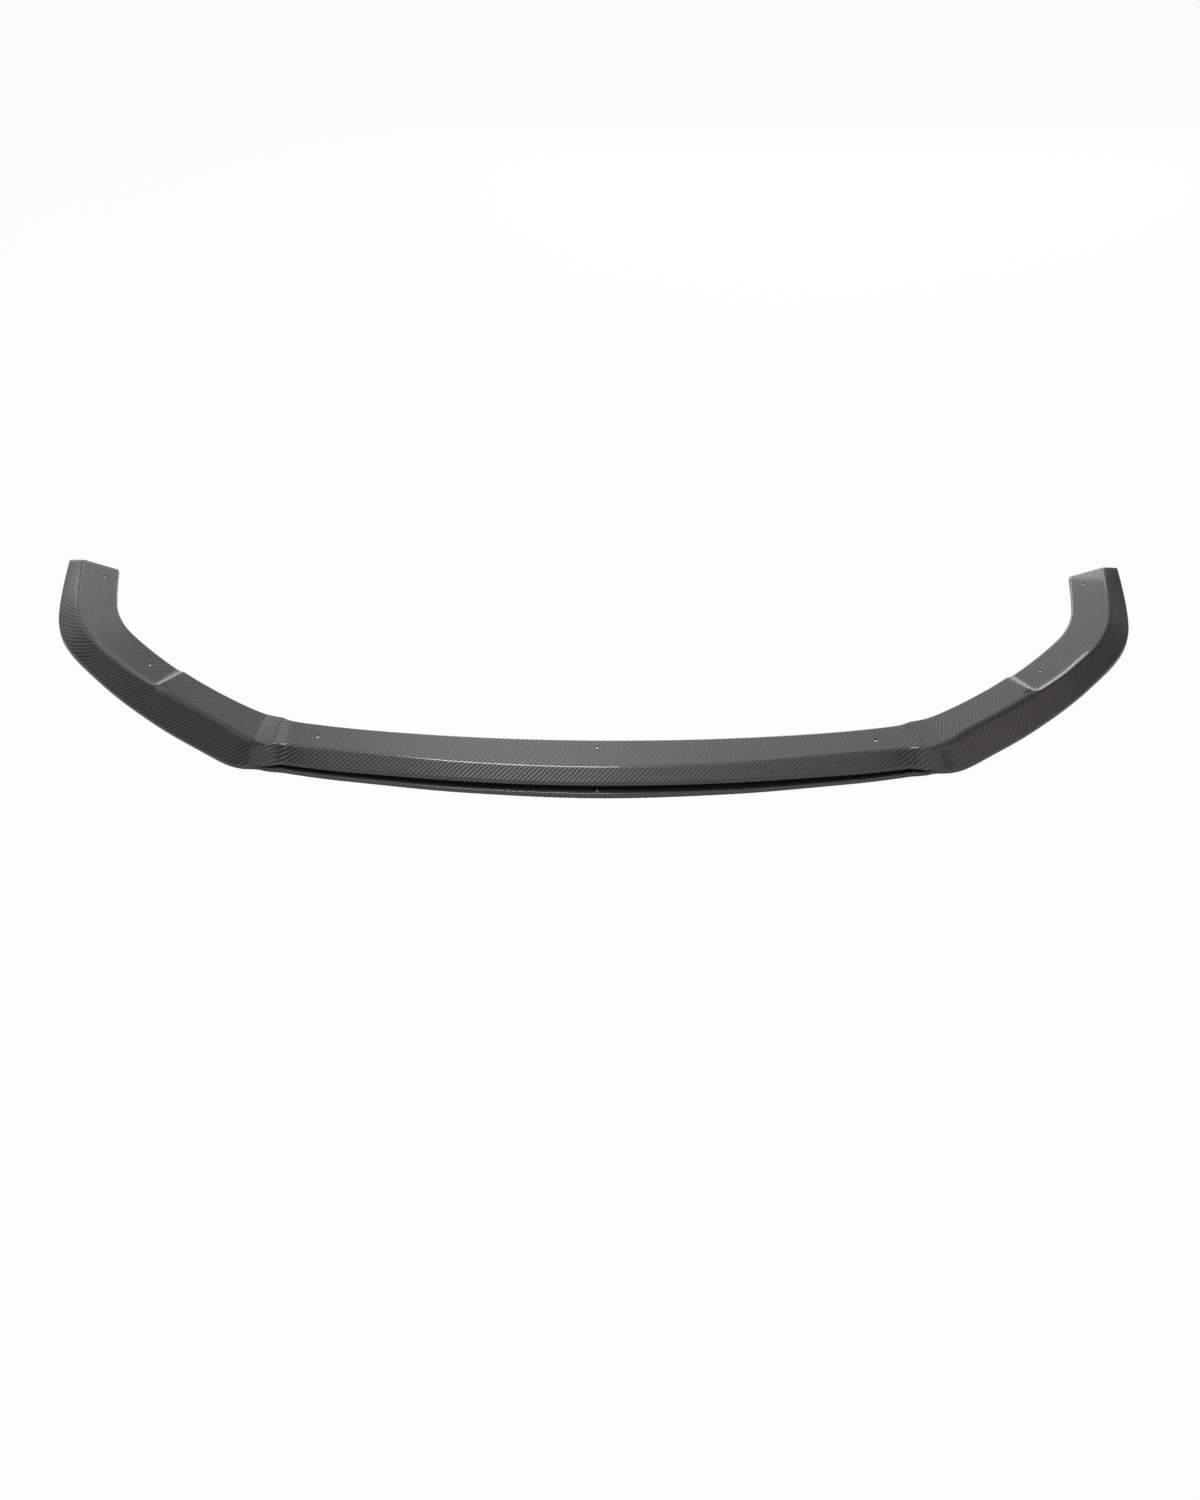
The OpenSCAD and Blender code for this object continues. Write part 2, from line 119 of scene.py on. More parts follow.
class LipSizes(bpy.types.PropertyGroup):
    """Sizes of the lip's skin. Lengths along the lip are measured on its rear edge, from the middle."""

    skin_t: length("Skin", 3, "Thickness of the laminate")
    edge_r: length("Outer edges", 1.2, "Rounding of the moulded outer edges")
    foot_r: length("Trimmed edges", 0.6, "Rounding of the edges that were trimmed after moulding")
    channel_r: length("Channel corners", 1.6, "Rounding of the corners at the back of the channel")
    crease_r: length("Crease", 2.5, "Half width of the rounding between the flange and the front face")
    crease_r_root: length("Crease, wing root", 9, "Half width of that rounding along the root of the wing")
    crease_r_wing: length("Crease, wing", 3.5, "Half width of that rounding past the step")
    crease_r_tip: length("Crease, tip", 5.5, "Half width of that rounding at the shoulder and the tip")
    middle_len: length("Middle", 340, "Length of the middle of the rear edge")
    middle_turn: angle("Middle turn", 6.5, "Turn of the rear edge along the middle")
    waist_len: length("Waist", 125, "Length of the waist")
    waist_turn: angle("Waist turn", 4.5, "Turn of the waist")
    bend_len: length("Bend", 100, "Length of the bend between the waist and the wing")
    bend_turn: angle("Bend turn", 22.5, "Turn of the bend")
    wing_len: length("Wing", 295, "Length of the wing")
    wing_turn: angle("Wing turn", 18, "Turn of the wing")
    shoulder_len: length("Shoulder", 100, "Length of the shoulder")
    shoulder_turn: angle("Shoulder turn", 30, "Turn of the shoulder")
    tip_len: length("Tip", 94, "Length of the tip")
    tip_turn: angle("Tip turn", 5, "Turn of the tip")
    tip_slant: angle("Tip slant", 28, "Angle by which the tip's end is cut back")
    end_run: length("End roll", 6, "Length over which the skin rolls down at the tip's end")
    end_drop: length("End drop", 3, "Drop of that roll")
    corner_r: length("End corners", 4, "Rounding of the two corners of the tip's end, as seen from above")
    slant_run: length("Slant run", 110, "Length over which the sections turn to the slanted end")
    flange_z: length("Flange height", 46, "Height of the flange's top")
    flange_w_middle: length("Flange, middle", 65.5, "Width of the flange at the middle")
    flange_w_quarter: length("Flange, quarter", 62.5, "Width of the flange a quarter along the channel")
    flange_w_waist: length("Flange, waist", 56, "Width of the flange at the waist")
    flange_w_channel: length("Flange, channel end", 59, "Width of the flange at the end of the channel")
    flange_w_bend: length("Flange, bend", 71, "Width of the flange at the bend")
    flange_w_root: length("Flange, wing root", 62.5, "Width of the flange at the root of the wing")
    flange_w_wing: length("Flange, wing", 60, "Width of the flange along the wing, up to the step")
    flange_w_step: length("Flange, past step", 61.5, "Width of the flange just past the step")
    flange_w_reach: length("Flange, reach", 64, "Width of the flange near the end of the wing")
    flange_w_turn: length("Flange, turn", 63, "Width of the flange where the shoulder starts")
    flange_w_shoulder: length("Flange, shoulder", 67, "Width of the flange at the shoulder")
    flange_w_tip: length("Flange, tip", 64, "Width of the flange at the tip")
    return_h: length("Return", 7, "Depth of the return along the rear edge")
    return_r: length("Return radius", 3.2, "Rounding between the flange and its return")
    ridge_h: length("Ridge", 3, "Height of the ridge above each end of the channel")
    ridge_at: length("Ridge place", 38, "Distance of the ridge from the start of the bend")
    ridge_skew: angle("Ridge skew", 10, "Angle of the ridge to a line square to the rear edge")
    ridge_in: length("Ridge, hollow side", 20, "Run of the ridge's hollow side, towards the middle")
    ridge_out: length("Ridge, flat side", 30, "Run of the ridge's flat side, towards the wing")
    step_h: length("Step", 4.5, "Drop of the wing's flange at the step")
    step_len: length("Step ramp, rear", 20, "Length of the step's ramp at the rear edge")
    step_len_front: length("Step ramp, front", 8, "Length of the ramp at the front of the flange")
    step_skew: angle("Step skew", 4.5, "Angle of the step's top to a line square to the rear edge")
    step_at: length("Step place", 149, "Distance of the step from the wing's root")
    bead_h: length("Bead", 2, "Height to which the flange's front turns up past the step")
    bead_w: length("Bead width", 7.5, "Width of that turned-up bead")
    crest_run: length("Crest run", 50, "Length over which the front of the flange comes down at the step")
    bead_len: length("Bead length", 165, "Length of the bead, from the step")
    bead_fade: length("Bead fade", 60, "Length over which the bead fades at its end")
    face_w_middle: length("Face, middle", 17.5, "Width in plan of the front face at the middle")
    face_w_channel: length("Face, channel end", 13, "Width in plan of the face at the end of the channel")
    face_w_steep: length("Face, steepest", 8.5, "Width in plan of the face where it is steepest")
    face_w_corner: length("Face, corner", 19, "Width in plan of the face at the corner of the bend")
    face_w_wing: length("Face, wing", 29.5, "Width in plan of the face along the wing")
    face_w_top: length("Face, step top", 28.5, "Width in plan of the face at the top of the step")
    face_w_step: length("Face, past step", 27, "Width in plan of the face just past the step")
    face_w_reach: length("Face, reach", 24.5, "Width in plan of the face near the end of the wing")
    face_w_turn: length("Face, turn", 25.5, "Width in plan of the face where the shoulder starts")
    face_w_shoulder: length("Face, shoulder", 34, "Width in plan of the face at the shoulder")
    face_w_tip: length("Face, tip", 26, "Width in plan of the face at the tip")
    rim_z_middle: length("Rim, middle", 28, "Height of the rim's top at the middle")
    rim_z_quarter: length("Rim, quarter", 27, "Height of the rim a quarter along the channel")
    rim_z_waist: length("Rim, waist", 22.5, "Height of the rim at the waist")
    rim_z_channel: length("Rim, channel end", 20.5, "Height of the rim at the end of the channel")
    rim_z_steep: length("Rim, steepest", 14.5, "Height of the rim where the face is steepest")
    rim_z_corner: length("Rim, corner", 7, "Height of the rim at the bend's corner and at the turn")
    rim_z_wing: length("Rim, wing", 6, "Height of the rim along the wing")
    rim_z_shoulder: length("Rim, shoulder", 12, "Height of the rim at the shoulder")
    rim_z_tip: length("Rim, tip", 32, "Height of the rim at the tip")
    rim_h: length("Rim face", 7, "Depth of the rim above the channel")
    channel_d: length("Channel", 15, "Depth of the channel behind the rim")
    blade_z_middle: length("Blade, middle", 10, "Height of the blade at the middle")
    blade_z_end: length("Blade, ends", 7.5, "Height of the blade at the ends of the channel")
    blade_out_middle: length("Blade reach, middle", 5.5, "How far the blade stands in front of the rim")
    blade_out_end: length("Blade reach, ends", 4, "How far the blade stands in front at its ends")
    screw_r: length("Screw holes", 3, "Radius of the screw holes")
    middle_hole_in: length("Middle hole", 18, "Distance of the middle screw hole from the rear edge")
    waist_hole_at: length("Waist hole", 27, "Distance of the waist's screw hole from the bend")
    waist_hole_in: length("Waist hole, in", 30, "Distance of that hole from the rear edge")
    wing_hole_at: length("Wing hole", 58, "Distance of the wing's screw hole from the step")
    wing_hole_in: length("Wing hole, in", 25, "Distance of that hole from the rear edge")
    tip_hole_at: length("Tip hole", 31, "Distance of the tip's screw hole from the end")
    tip_hole_in: length("Tip hole, in", 23, "Distance of that hole from the rear edge")
    drain_r: length("Drain", 2.2, "Radius of the drain hole in the channel's floor")
    drain_in: length("Drain, in", 8, "Distance of the drain from the front of the blade")
    cloth_turn_bend: angle("Cloth turn, bend", -14, "Turn of the cloth against the lip at the left bend")
    cloth_turn_wing: angle("Cloth turn, wing", -8.5, "Turn of the cloth against the lip along the left wing")
    cloth_turn_tip: angle("Cloth turn, tip", 15, "Turn of the cloth against the lip at the left tip")


class ClothLook(bpy.types.PropertyGroup):
    """Looks of the woven carbon and its clear coat."""

    tow_w: length("Tow", 1.9, "Width of one tow of the twill")
    relief: length("Relief", 0.12, "Height of a tow's crown")
    # Painted sheen: the warp is coloured lighter than the weft, though both are the same fibre and differ
    # only in how light falls on them.
    warp_sheen_tint: tint("Warp", (0.165, 0.162, 0.168), "Colour of the tows that run along the lip")
    weft_shade_tint: tint("Weft", (0.08, 0.079, 0.083), "Colour of the tows that run across it")
    crown: share("Crown", 0.6, "Share of a tow's relief that falls off across its width")
    arch: share("Arch", 0.4, "Share of a tow's relief that falls off along it")
    # Painted shade: each tow is coloured darker towards its edges, where its crown turns away from the
    # light.
    tow_edge_shade: share("Tow edges", 0.2, "Share of a tow's colour that is left at its edges")
    fibre_metal: share("Fibre metal", 0.85, "How metallic the fibres look")
    fibre_spread: share("Fibre spread", 0.85, "How far a fibre's shine spreads across it")
    fibre_rough: share("Fibre roughness", 0.42, "Roughness of the fibres under the coat")
    coat_rough: share("Coat roughness", 0.04, "Roughness of the clear coat")
    inside_coat: share("Coat inside", 0.15, "Weight of the clear coat on the inside, which is left matt")
    inside_rough: share("Roughness inside", 0.6, "Roughness of the fibres on the inside")


class StageLook(bpy.types.PropertyGroup):
    """The camera, the floor and the surroundings."""

    lens: bpy.props.FloatProperty(
        name="Lens", description="Focal length in mm, for the picture's height", default=57.6
    )
    azimuth: angle("Azimuth", -1.142, "Turn of the camera round the lip")
    elevation: angle("Elevation", 40, "Height of the camera above the horizon")
    roll: angle("Roll", 1.098, "Roll of the camera")
    distance: length("Distance", 3846.5, "Distance of the camera from its target")
    target_x: length("Target X", 5.3, "Target of the camera across the lip")
    target_y: length("Target Y", -175.5, "Target of the camera along the car")
    floor_side: length("Floor", 40000, "Side of the square floor")
    floor_tone: share("Floor tone", 0.32, "Tone of the floor in the light that it throws on the lip")
    floor_lift: share("Floor lift", 0.6, "What is added to that tone where the floor is seen")
    floor_white: share("Floor white", 0.94, "Share of plain white in the floor where it is seen")
    floor_mirrored: share("Floor mirrored", 0.28, "How much of the seen floor reflections show")
    fill: share("Fill", 0.3, "Strength of the even light that falls on the lip from all round")
    walls: share("Walls", 0.15, "Strength of the studio's walls in reflections")
    walls_tint: tint("Walls tint", (1.0, 0.95, 0.9), "Colour of those walls")


def mix(a, b, k):
    """The value that lies the share k of the way from a to b."""
    return a + (b - a) * k


def ease(k):
    """0 to 1 with flat ends."""
    c = np.clip(k, 0, 1)
    return c * c * (3 - 2 * c)


class Lip:
    """Plan and sections of the lip, worked out from its sizes."""

    # Steps of a rounded corner, of the flange behind the bead and of the bead
    ROUND_STEPS = 4
    FLANGE_STEPS = 7
    BEAD_STEPS = 7
    # Reach of a corner's curve that looks like a quarter circle of radius 1
    QUARTER_REACH = 1.17
    # Most that a rounding takes of the shorter side at its corner
    ROUND_ROOM = 0.42
    # The points that hold a rounding's shading stand further out than its ends by this factor
    HOLD = 1.15
    # Heights of the points of a closed section's wall and inside, as shares of the heights of both
    CLOSED_WALL = (0.65, 0.55, 0.45, 0.35)
    CLOSED_INSIDE = (0, 0.25, 0.5, 0.75, 1)
    # Distances between the sections, in metres
    MIDDLE_GAP = 0.0075
    BEND_GAP = 0.003
    RIDGE_GAP = 0.0017
    WING_GAP = 0.0055
    RAMP_GAP = 0.0013
    TIP_GAP = 0.0045
    # Numbers of sections in the roll at the tip's end and in the rounding of the end's edge
    ROLL_SECTIONS = 11
    EDGE_SECTIONS = 4
    # The roll's sections stop this many roundings before the end
    ROLL_STOP = 1.1
    # Number of places at which the cloth's turn is added up
    CLOTH_SAMPLES = 400

    def __init__(self, sizes):
        self.p = p = sizes
        self.path = [
            (p.middle_len, p.middle_turn),
            (p.waist_len, p.waist_turn),
            (p.bend_len, p.bend_turn),
            (p.wing_len, p.wing_turn),
            (p.shoulder_len, p.shoulder_turn),
            (p.tip_len, p.tip_turn),
        ]
        self.bend_s = p.middle_len + p.waist_len
        self.wing_s = self.bend_s + p.bend_len
        self.step_s = self.wing_s + p.step_at
        self.shoulder_s = self.wing_s + p.wing_len
        self.tip_s = self.shoulder_s + p.shoulder_len
        self.end_s = self.tip_s + p.tip_len
        self.ridge_s = self.bend_s + p.ridge_at
        self.past_s = self.step_s + p.step_len
        self.sections = self.section_table()
        self.slopes = self.section_slopes()
        front_y = -(p.flange_w_middle + p.face_w_middle + p.blade_out_middle)
        back_y = self.on_plan(self.end_s, p.flange_w_tip + p.face_w_tip - p.corner_r)[1]
        self.front_u = -front_y
        self.rear_y = -(front_y + back_y) / 2

    def section_table(self):
        """Rows of distance, flange width, face width, rim top, crease, rim depth, blade reach, blade height
        and how open the channel is."""
        p = self.p
        quarter_s = p.middle_len * 0.6
        waist_s = p.middle_len + p.waist_len * 0.4
        channel_s = self.bend_s + p.bend_len * 0.12
        steep_s = self.bend_s + p.bend_len * 0.4
        corner_s = self.bend_s + p.bend_len * 0.65
        root_s = self.wing_s + p.step_at * 0.4
        reach_s = self.shoulder_s - p.wing_len * 0.2
        tight, soft = p.crease_r, p.crease_r_root
        quarter_z = (p.blade_z_middle + p.blade_z_end) / 2
        middle = (tight, p.rim_h, p.blade_out_middle, p.blade_z_middle, 1)
        quarter = (tight, p.rim_h, p.blade_out_end, quarter_z, 1)
        wide = (tight, p.rim_h, p.blade_out_end, p.blade_z_end, 1)
        # These shares of the rim, the blade and the opening are left where the channel closes
        closing = (tight, p.rim_h * 0.8, p.blade_out_end / 4, p.blade_z_end * 0.7, 0.2)
        root = (soft, p.rim_h / 3, 0, p.blade_z_end / 2, 0)
        wing = (p.crease_r_wing, *root[1:])
        tip = (p.crease_r_tip, *root[1:])
        rows = [
            (0, p.flange_w_middle, p.face_w_middle, p.rim_z_middle, *middle),
            (quarter_s, p.flange_w_quarter, p.face_w_middle, p.rim_z_quarter, *quarter),
            (waist_s, p.flange_w_waist, p.face_w_middle, p.rim_z_waist, *wide),
            (channel_s, p.flange_w_channel, p.face_w_channel, p.rim_z_channel, *wide),
            (steep_s, p.flange_w_bend, p.face_w_steep, p.rim_z_steep, *closing),
            (corner_s, p.flange_w_bend, p.face_w_corner, p.rim_z_corner, *root),
            (self.wing_s, p.flange_w_root, p.face_w_wing, p.rim_z_wing, *root),
            (root_s, p.flange_w_wing, p.face_w_wing, p.rim_z_wing, *root),
            (self.step_s, p.flange_w_wing, p.face_w_top, p.rim_z_wing, *root),
            (self.past_s, p.flange_w_step, p.face_w_step, p.rim_z_wing, *wing),
            (reach_s, p.flange_w_reach, p.face_w_reach, p.rim_z_wing, *wing),
            (self.shoulder_s, p.flange_w_turn, p.face_w_turn, p.rim_z_corner, *wing),
            (self.tip_s, p.flange_w_shoulder, p.face_w_shoulder, p.rim_z_shoulder, *tip),
            (self.end_s, p.flange_w_tip, p.face_w_tip, p.rim_z_tip, *tip),
        ]
        return np.array(rows)

    def section_slopes(self):
        """Slopes at the sections for a smooth curve that never swings past them."""
        runs = np.diff(self.sections[:, 0])[:, None]
        rates = np.diff(self.sections, axis=0) / runs
        slopes = np.zeros_like(self.sections)
        a, b = rates[:-1], rates[1:]
        total = np.where(a * b > 0, a + b, 1)
        slopes[1:-1] = np.where(a * b > 0, 2 * a * b / total, 0)
        return slopes

    def section_at(self, s):
        """The table's values at distance s, without the distance."""
        i = int(np.clip(np.searchsorted(self.sections[:, 0], s, "right") - 1, 0, len(self.sections) - 2))
        low, high = self.sections[i], self.sections[i + 1]
        run = high[0] - low[0]
        k = min((s - low[0]) / run, 1)
        value = low * (2 * k**3 - 3 * k**2 + 1) + high * (3 * k**2 - 2 * k**3)
        value = value + run * (self.slopes[i] * (k**3 - 2 * k**2 + k) + self.slopes[i + 1] * (k**3 - k**2))
        return value[1:]

    def rear_edge(self, s):
        """Point and heading of the rear edge at distance s, from y = 0."""
        x = y = heading = 0.0
        for i, (arc_len, turn) in enumerate(self.path):
            radius = arc_len / turn
            along = s if i == len(self.path) - 1 else min(s, arc_len)
            turned = heading + turn * along / arc_len
            x += radius * (math.sin(turned) - math.sin(heading))
            y += radius * (math.cos(heading) - math.cos(turned))
            heading = turned
            s -= arc_len
            if s <= 0:
                break
        return x, y, heading

    def on_plan(self, s, u):
        """Points u in front of the rear edge, turned towards the tip's slanted end."""
        x, y, heading = self.rear_edge(s)
        slant = math.tan(self.p.tip_slant) * ease((s - self.end_s) / self.p.slant_run + 1)
        back = u * slant
        return (
            x + u * math.sin(heading) + back * math.cos(heading),
            y - u * math.cos(heading) + back * math.sin(heading),
        )

    def ridge_rise(self, s, u):
        """Height of the ridge, which rises ever faster to its line and falls evenly."""
        p = self.p
        past = s - self.ridge_s + u * math.tan(p.ridge_skew)
        return p.ridge_h * (np.clip(past / p.ridge_in + 1, 0, 1) ** 2 - np.clip(past / p.ridge_out, 0, 1))

    def step_fall(self, s, u):
        """Drop of the flange at the step, which falls ever slower."""
        p = self.p
        past = s - self.step_s - u * math.tan(p.step_skew)
        left = 1 - np.clip(past / mix(p.step_len, p.step_len_front, u / p.flange_w_step), 0, 1)
        return p.step_h * (1 - left**2)

    def crest_fall(self, s):
        """Drop of the flange's front edge, which comes down more slowly."""
        p = self.p
        past = s - self.step_s
        kept = p.bead_h * (1 - ease((past - p.bead_len) / p.bead_fade + 1))
        # Half of the run lies before the step
        return (p.step_h - kept) * ease(past / p.crest_run + 0.5)

    def flange_top(self, s, u, flange_w, crest_u):
        """Height of the flange, with its ridge, its step and the bead that ends at crest_u."""
        bead = self.step_fall(s, flange_w) - self.crest_fall(s)
        turned_up = bead * ease((u - crest_u) / self.p.bead_w + 1)
        return self.p.flange_z + self.ridge_rise(s, u) - self.step_fall(s, u) + turned_up

    def corners(self, s):
        """Corners of the section at s with their roundings, and the flange's height and crest.

        The corners run along the outside from rear to front, and back along the inside."""
        p = self.p
        t = p.skin_t
        flange_w, face_w, rim_z, crease, rim_h, blade_out, blade_z, opened = self.section_at(s)
        crest = (flange_w, flange_w - crease)
        top = self.flange_top(s, flange_w, *crest)
        rim_u = flange_w + face_w
        front_u = rim_u + blade_out
        channel_u = rim_u - p.channel_d
        channel_z = rim_z - rim_h
        drop = top - rim_z
        slope = math.hypot(face_w, drop)
        cs, sn = face_w / slope, drop / slope
        # The inside of the face meets the inside of the rim, and the roof of the channel, at these points
        inside_z = mix(top, rim_z, 1 - t * (1 - sn) / face_w) - t * cs
        roof_z = channel_z + t
        roof_u = min(flange_w + (top - t * cs - roof_z) * cs / sn - t * sn, rim_u - t)
        open_wall = [
            (rim_u, channel_z),
            (channel_u, channel_z),
            (channel_u, blade_z),
            (front_u, blade_z),
        ]
        open_inside = [
            (front_u - t, 0),
            (front_u - t, blade_z - t),
            (channel_u - t, blade_z - t),
            (channel_u - t, roof_z),
            (roof_u, roof_z),
        ]
        closed_wall = [(rim_u, rim_z * k) for k in self.CLOSED_WALL]
        closed_inside = [(rim_u - t, inside_z * k) for k in self.CLOSED_INSIDE]
        wall = mix(np.array(closed_wall), np.array(open_wall), opened)
        inside = mix(np.array(closed_inside), np.array(open_inside), opened)
        outer = [(0, top - p.return_h), (0, top), (flange_w, top), (rim_u, rim_z), *wall, (front_u, 0)]
        under = [(flange_w - t * (1 - cs) / sn, top - t), (t, top - t), (t, top - p.return_h)]
        points = np.array([*outer, *inside, inside[-1], *under])
        foot, edge, channel = p.foot_r, p.edge_r, p.channel_r
        rear = p.return_r * self.QUARTER_REACH
        reach = [foot, rear, crease, edge, edge, channel, channel, edge, foot]
        reach += [foot, foot, foot, foot, 0, 0, crease - t / 2, foot, foot]
        return points, np.array(reach), top, crest

    def ring(self, s):
        """Points of the closed section at distance s, as x, y and z."""
        corners, reach, top, crest = self.corners(s)
        after = np.roll(corners, -1, 0) - corners
        room = np.linalg.norm(after, axis=1)
        after = after / np.maximum(room, TINY)[:, None]
        before = -np.roll(after, 1, 0)
        reach = np.minimum(reach, self.ROUND_ROOM * np.minimum(room, np.roll(room, 1)))
        points = []
        for i, corner in enumerate(corners):
            start, end = corner + before[i] * reach[i], corner + after[i] * reach[i]
            points.append(corner + before[i] * reach[i] * self.HOLD)
            for k in np.linspace(0, 1, self.ROUND_STEPS + 1):
                points.append(mix(mix(start, corner, k), mix(corner, end, k), k))
            points.append(corner + after[i] * reach[i] * self.HOLD)
            if i in (1, len(corners) - 3):
                # The flange is long, and takes points of its own for the ridge and the bead
                far = corners[i + 1] + before[i + 1] * reach[i + 1] * self.HOLD
                near_u = points[-1][0]
                foot = (crest[1] - self.p.bead_w - near_u) / (far[0] - near_u)
                first, second = self.FLANGE_STEPS, self.BEAD_STEPS
                if i > 1:
                    first, second = second, first
                shares = [*np.linspace(0, foot, first + 1)[1:], *np.linspace(foot, 1, second + 1)[1:-1]]
                points += [mix(points[-1], far, k) for k in shares]
        points = np.array(points)
        per_corner = self.ROUND_STEPS + 3
        on_flange = np.zeros(len(points))
        flange_points = 3 * per_corner + self.FLANGE_STEPS + self.BEAD_STEPS - 1
        on_flange[:flange_points] = 1
        on_flange[-flange_points:] = 1
        z = points[:, 1] + on_flange * (self.flange_top(s, points[:, 0], *crest) - top)
        # Near its end the tip rolls down and narrows from both sides, which rounds its corners
        part = float(np.clip((s - self.end_s) / self.p.end_run + 1, 0, 1))
        cut = self.p.corner_r * (1 - math.sqrt(1 - part**2))
        width = self.p.flange_w_tip + self.p.face_w_tip
        x, y = self.on_plan(s, cut + points[:, 0] * (1 - 2 * cut / width))
        z = z - self.p.end_drop * part**2 * np.minimum(z / self.p.rim_z_tip, 1)
        return np.column_stack([x, y + self.rear_y, z])

    def stations(self):
        """Distances of the sections from the middle to the tip."""
        p = self.p
        ridge = self.ridge_s - p.ridge_in
        ramp = self.step_s - p.foot_r
        ramp_end = self.past_s + p.flange_w_step * math.tan(p.step_skew)
        stops = [
            (0, self.bend_s, self.MIDDLE_GAP),
            (self.bend_s, ridge, self.BEND_GAP),
            (ridge, self.ridge_s + p.ridge_out, self.RIDGE_GAP),
            (self.ridge_s + p.ridge_out, self.wing_s, self.BEND_GAP),
            (self.wing_s, ramp, self.WING_GAP),
            (ramp, ramp_end, self.RAMP_GAP),
            (ramp_end, self.shoulder_s, self.WING_GAP),
            (self.shoulder_s, self.end_s - p.end_run, self.TIP_GAP),
        ]
        found = []
        for start, stop, gap in stops:
            count = math.ceil((stop - start) / gap)
            found += list(np.linspace(start, stop, count, endpoint=False))
        turns = np.linspace(0, QUARTER_TURN, self.ROLL_SECTIONS)
        roll = [self.end_s - p.end_run * (1 - math.sin(turn)) for turn in turns]
        return found + [s for s in roll if s < self.end_s - p.foot_r * self.ROLL_STOP]

    def half(self):
        """Rings from the middle to one tip, closed at the tip, each with its distance along the lip."""
        rows = [(s, self.ring(s)) for s in self.stations()]
        foot_r = self.p.foot_r
        for turn in np.linspace(0, QUARTER_TURN, self.EDGE_SECTIONS):
            s = self.end_s - foot_r * (1 - math.sin(turn))
            points = self.ring(s)
            facing = points[::-1] - points
            wide = np.maximum(np.linalg.norm(facing, axis=1), TINY)[:, None]
            rows.append((s, points + facing / wide * foot_r * (1 - math.cos(turn))))
        points = self.ring(self.end_s)
        rows.append((self.end_s, (points + points[::-1]) / 2))
        return rows

    def rows(self):
        """All rings from one tip to the other, as positions and cloth coordinates."""
        half = self.half()
        flip = np.array([-1, 1, 1])
        full = [(-s, points * flip) for s, points in half[:0:-1]] + half
        turn_s = (self.bend_s, self.ridge_s, self.wing_s, self.shoulder_s, self.end_s)
        wing_turn = self.p.cloth_turn_wing
        turns = (0, self.p.cloth_turn_bend, wing_turn, wing_turn, self.p.cloth_turn_tip)
        fine = np.linspace(0, self.end_s, self.CLOTH_SAMPLES)
        turned = np.interp(fine, turn_s, turns)
        ran_along, ran_across = np.cumsum(np.cos(turned)), np.cumsum(np.sin(turned))
        positions, cloth = [], []
        for s, points in full:
            closed = np.vstack([points, points[:1]])
            across = np.concatenate([[0], np.cumsum(np.linalg.norm(np.diff(closed, axis=0), axis=1))])
            under = (np.arange(len(closed)) >= len(points) // 2).astype(float)
            turn, along, drift = 0, s, 0
            if s > 0:
                turn = np.interp(s, turn_s, turns)
                along = np.interp(s, fine, ran_along - ran_along[0]) * fine[1]
                drift = np.interp(s, fine, ran_across - ran_across[0]) * fine[1]
            positions.append(closed)
            laid = (along + across * math.sin(turn), across * math.cos(turn) - drift, under)
            cloth.append(np.column_stack(laid))
        return np.array(positions), np.array(cloth)

    def holes(self):
        """Centres and radii of the holes."""
        p = self.p
        wing_z = p.flange_z - p.step_h
        found = [
            (0, p.middle_hole_in, p.screw_r, 1, p.flange_z),
            (0, self.front_u - p.drain_in, p.drain_r, 1, p.blade_z_middle),
        ]
        for side in (-1, 1):
            found += [
                (self.bend_s - p.waist_hole_at, p.waist_hole_in, p.screw_r, side, p.flange_z),
                (self.step_s + p.wing_hole_at, p.wing_hole_in, p.screw_r, side, wing_z),
                (self.end_s - p.tip_hole_at, p.tip_hole_in, p.screw_r, side, wing_z),
            ]
        centres = []
        for s, u, r, side, z in found:
            x, y = self.on_plan(s, u)
            centres.append((side * x, y + self.rear_y, z - p.skin_t / 2, r))
        return np.array(centres)


class Maths:
    """A number's socket in a node tree. Python operators on it add Math nodes."""

    def __init__(self, nodes, socket):
        self.nodes, self.socket = nodes, socket

    def math(self, operation, *others):
        """The result of that Math node, with this number first."""
        node = self.nodes.add("ShaderNodeMath", operation=operation)
        for slot, value in zip(node.inputs, (self, *others)):
            self.nodes.put(slot, value)
        return Maths(self.nodes, node.outputs[0])

    def __add__(self, other):
        return self.math("ADD", other)

    def __sub__(self, other):
        return self.math("SUBTRACT", other)

    def __rsub__(self, other):
        return self.nodes.number(other).math("SUBTRACT", self)

    def __mul__(self, other):
        return self.math("MULTIPLY", other)

    def __truediv__(self, other):
        return self.math("DIVIDE", other)

    def __mod__(self, other):
        return self.math("FLOORED_MODULO", other)

    def __lt__(self, other):
        return self.math("LESS_THAN", other)

    def __gt__(self, other):
        return self.math("GREATER_THAN", other)


